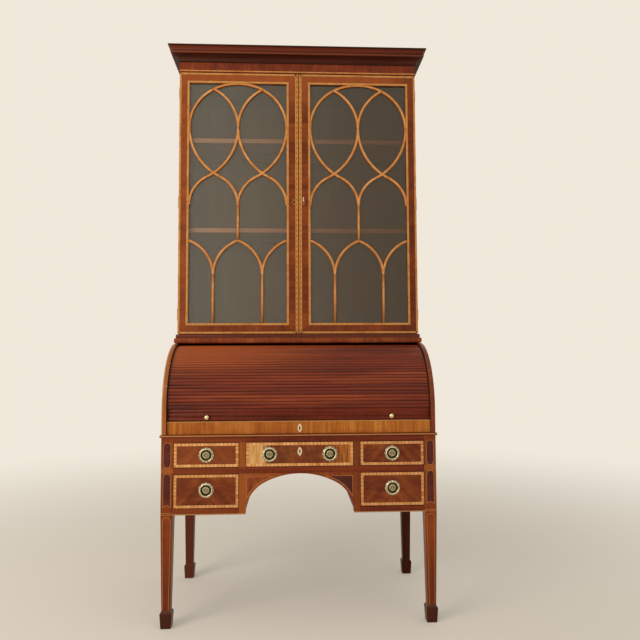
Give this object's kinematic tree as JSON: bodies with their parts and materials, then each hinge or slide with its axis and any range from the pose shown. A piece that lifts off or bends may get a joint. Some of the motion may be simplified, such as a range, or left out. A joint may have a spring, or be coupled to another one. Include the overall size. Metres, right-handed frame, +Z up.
{
  "type": "tambour secretary desk",
  "caption": "Writing desk with a rolling tambour front, drawers round an arched kneehole, tapered legs on spade feet, and a glazed bookcase with traceried doors.",
  "frame": {"origin": "on the floor under the middle of the desk's overall box", "axes": "+X to the right facing the front, +Y to the back, +Z up"},
  "size_m": [1.104, 0.5628, 2.329],
  "materials": {
    "mahogany": "french polished",
    "satinwood": "french polished",
    "oak_lining": "bare",
    "pine_carcase": "bare",
    "leather": "polished",
    "canvas": "woven",
    "brass": "worn polish",
    "ivory": "polished",
    "glass": "clear"
  },
  "bodies": {
    "carcass": {"front_legs": "mahogany", "rear_legs": "mahogany", "desk_sides": "mahogany", "case_backs": "pine_carcase", "front_rails": "mahogany", "kneehole_apron": "mahogany", "drawer_dividers": "mahogany", "inner_boards": "pine_carcase", "writing_bed": "mahogany", "leather_skiver": "leather", "gables": "mahogany", "pigeonhole_nest": "mahogany", "waist_board": "mahogany", "base_moulding": "mahogany", "bookcase_sides": "mahogany", "bookcase_boards": "pine_carcase", "bookcase_back": "pine_carcase", "bookcase_shelves": "mahogany", "frieze": "mahogany", "cornice": "mahogany", "case_hinge_leaves": "brass"},
    "tambour": {"tambour_slats": "mahogany", "tambour_canvas": "canvas"},
    "lock_rail": {"tambour_rail": "mahogany", "tambour_knobs": "brass", "rail_escutcheon": "ivory"},
    "left_door": {"left_door_frame": "mahogany", "left_door_tracery": "satinwood", "left_door_glass": "glass", "left_door_hinge_leaves": "brass", "left_door_escutcheon": "ivory"},
    "right_door": {"right_door_frame": "mahogany", "right_door_tracery": "satinwood", "right_door_glass": "glass", "right_door_hinge_leaves": "brass", "right_door_escutcheon": "ivory", "right_door_lock": "brass"},
    "key": {"door_key": "brass"},
    "drawer_top_left": {"drawer_top_left_front": "mahogany", "drawer_top_left_box": "oak_lining", "drawer_top_left_roses": "brass"},
    "ring_top_left": {"drawer_top_left_ring": "brass"},
    "drawer_top_centre": {"drawer_top_centre_front": "mahogany", "drawer_top_centre_box": "oak_lining", "drawer_top_centre_roses": "brass", "drawer_escutcheon": "ivory"},
    "ring_top_centre_left": {"drawer_top_centre_ring_left": "brass"},
    "ring_top_centre_right": {"drawer_top_centre_ring_right": "brass"},
    "drawer_top_right": {"drawer_top_right_front": "mahogany", "drawer_top_right_box": "oak_lining", "drawer_top_right_roses": "brass"},
    "ring_top_right": {"drawer_top_right_ring": "brass"},
    "drawer_lower_left": {"drawer_lower_left_front": "mahogany", "drawer_lower_left_box": "oak_lining", "drawer_lower_left_roses": "brass"},
    "ring_lower_left": {"drawer_lower_left_ring": "brass"},
    "drawer_lower_right": {"drawer_lower_right_front": "mahogany", "drawer_lower_right_box": "oak_lining", "drawer_lower_right_roses": "brass"},
    "ring_lower_right": {"drawer_lower_right_ring": "brass"}
  },
  "joints": [
    {"name": "tambour_roll", "type": "hinge", "parent": "carcass", "child": "tambour", "pos_m": [0, -0.0196, 0.805], "axis": [-1, 0, 0], "range_deg": [0, 80]},
    {"name": "lock_rail_fold", "type": "hinge", "parent": "tambour", "child": "lock_rail", "pos_m": [0, -0.255, 0.805], "axis": [1, 0, 0], "range_deg": [0, 10.8]},
    {"name": "left_door_hinge", "type": "hinge", "parent": "carcass", "child": "left_door", "pos_m": [-0.51, -0.01985, 1.1], "axis": [0, 0, -1], "range_deg": [0, 105]},
    {"name": "right_door_hinge", "type": "hinge", "parent": "carcass", "child": "right_door", "pos_m": [0.51, -0.01985, 1.1], "axis": [0, 0, 1], "range_deg": [0, 105]},
    {"name": "key_turn", "type": "hinge", "parent": "right_door", "child": "key", "pos_m": [0.02, -0.0396, 1.662], "axis": [0, 1, 0], "range_deg": [0, 90]},
    {"name": "drawer_top_left_slide", "type": "slide", "parent": "carcass", "child": "drawer_top_left", "axis": [0, -1, 0], "range_m": [0, 0.33]},
    {"name": "ring_top_left_lift", "type": "hinge", "parent": "drawer_top_left", "child": "ring_top_left", "pos_m": [-0.35175, -0.27705, 0.6565], "axis": [-1, 0, 0], "range_deg": [0, 85]},
    {"name": "drawer_top_centre_slide", "type": "slide", "parent": "carcass", "child": "drawer_top_centre", "axis": [0, -1, 0], "range_m": [0, 0.33]},
    {"name": "ring_top_centre_left_lift", "type": "hinge", "parent": "drawer_top_centre", "child": "ring_top_centre_left", "pos_m": [-0.1145, -0.27705, 0.6565], "axis": [-1, 0, 0], "range_deg": [0, 85]},
    {"name": "ring_top_centre_right_lift", "type": "hinge", "parent": "drawer_top_centre", "child": "ring_top_centre_right", "pos_m": [0.1145, -0.27705, 0.6565], "axis": [-1, 0, 0], "range_deg": [0, 85]},
    {"name": "drawer_top_right_slide", "type": "slide", "parent": "carcass", "child": "drawer_top_right", "axis": [0, -1, 0], "range_m": [0, 0.33]},
    {"name": "ring_top_right_lift", "type": "hinge", "parent": "drawer_top_right", "child": "ring_top_right", "pos_m": [0.35175, -0.27705, 0.6565], "axis": [-1, 0, 0], "range_deg": [0, 85]},
    {"name": "drawer_lower_left_slide", "type": "slide", "parent": "carcass", "child": "drawer_lower_left", "axis": [0, -1, 0], "range_m": [0, 0.33]},
    {"name": "ring_lower_left_lift", "type": "hinge", "parent": "drawer_lower_left", "child": "ring_lower_left", "pos_m": [-0.35175, -0.27705, 0.5265], "axis": [-1, 0, 0], "range_deg": [0, 85]},
    {"name": "drawer_lower_right_slide", "type": "slide", "parent": "carcass", "child": "drawer_lower_right", "axis": [0, -1, 0], "range_m": [0, 0.33]},
    {"name": "ring_lower_right_lift", "type": "hinge", "parent": "drawer_lower_right", "child": "ring_lower_right", "pos_m": [0.35175, -0.27705, 0.5265], "axis": [-1, 0, 0], "range_deg": [0, 85]}
  ],
  "couplings": [
    {"joint": "lock_rail_fold", "follows": "tambour_roll", "ratio": 0.135}
  ]
}
